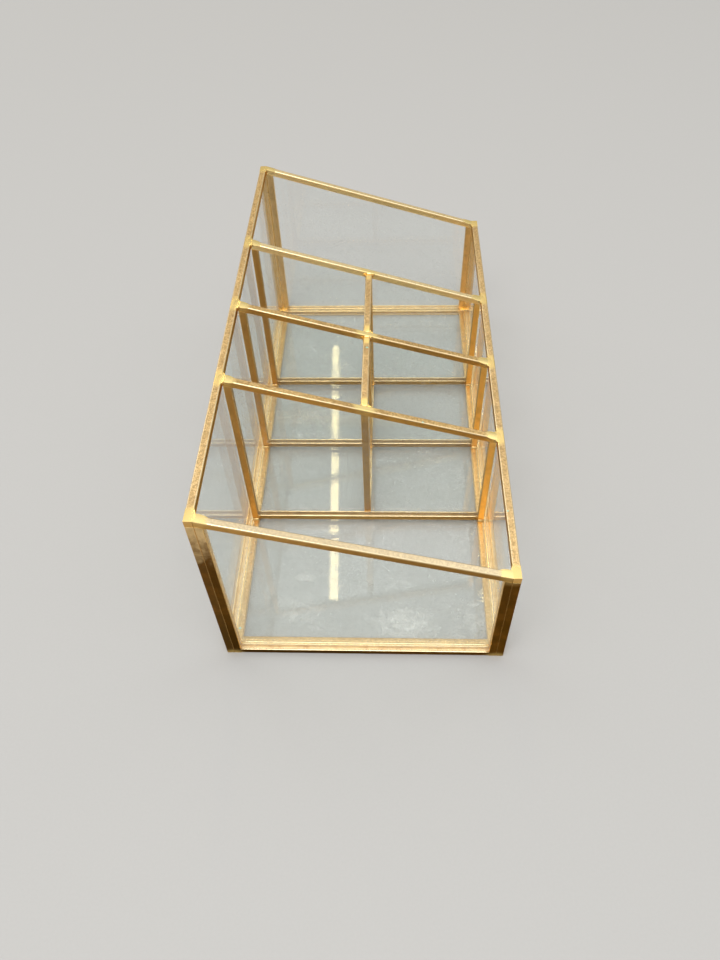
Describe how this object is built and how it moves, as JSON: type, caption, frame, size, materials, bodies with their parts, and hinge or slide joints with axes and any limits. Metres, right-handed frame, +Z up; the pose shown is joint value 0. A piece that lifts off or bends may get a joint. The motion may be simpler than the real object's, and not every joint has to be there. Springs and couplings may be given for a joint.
{
  "type": "glass organizer box",
  "caption": "Open rectangular desk organizer of clear glass panes framed in soldered brass channel, with a rim that slopes from a tall long side to a low one and fixed glass dividers inside.",
  "frame": {"origin": "middle of the footprint, on the surface that the box stands on", "axes": "+X from the tall long side to the low long side, +Y along the row of cells from the near end to the far end, +Z up"},
  "size_m": [0.127, 0.254, 0.102],
  "materials": {
    "brass": "aged satin brass, lightly mottled",
    "solder": "brass-plated solder, smooth and brighter than the channel",
    "glass": "clear polished sheet glass with a faint grey-green tint and light dust"
  },
  "bodies": {
    "root": {"base_far_came": "brass", "base_low_came": "brass", "base_near_came": "brass", "base_pane": "glass", "base_tall_came": "brass", "far_divider_bottom_came": "brass", "far_divider_low_post": "brass", "far_divider_pane": "glass", "far_divider_tall_post": "brass", "far_divider_top_rail": "brass", "far_end_bottom_came": "brass", "far_end_low_post": "brass", "far_end_pane": "glass", "far_end_tall_post": "brass", "far_end_top_rail": "brass", "far_partition_bottom_came": "brass", "far_partition_far_post": "brass", "far_partition_near_post": "brass", "far_partition_pane": "glass", "far_partition_top_rail": "brass", "low_side_bottom_came": "brass", "low_side_far_post": "brass", "low_side_near_post": "brass", "low_side_pane": "glass", "low_side_top_rail": "brass", "middle_divider_bottom_came": "brass", "middle_divider_low_post": "brass", "middle_divider_pane": "glass", "middle_divider_tall_post": "brass", "middle_divider_top_rail": "brass", "near_divider_bottom_came": "brass", "near_divider_low_post": "brass", "near_divider_pane": "glass", "near_divider_tall_post": "brass", "near_divider_top_rail": "brass", "near_end_bottom_came": "brass", "near_end_low_post": "brass", "near_end_pane": "glass", "near_end_tall_post": "brass", "near_end_top_rail": "brass", "near_partition_bottom_came": "brass", "near_partition_far_post": "brass", "near_partition_near_post": "brass", "near_partition_pane": "glass", "near_partition_top_rail": "brass", "solder_base_joints": "solder", "solder_corner_joints": "solder", "solder_divider_joints": "solder", "solder_foot_joints": "solder", "solder_partition_joints": "solder", "tall_side_bottom_came": "brass", "tall_side_far_post": "brass", "tall_side_near_post": "brass", "tall_side_pane": "glass", "tall_side_top_rail": "brass"}
  },
  "joints": []
}
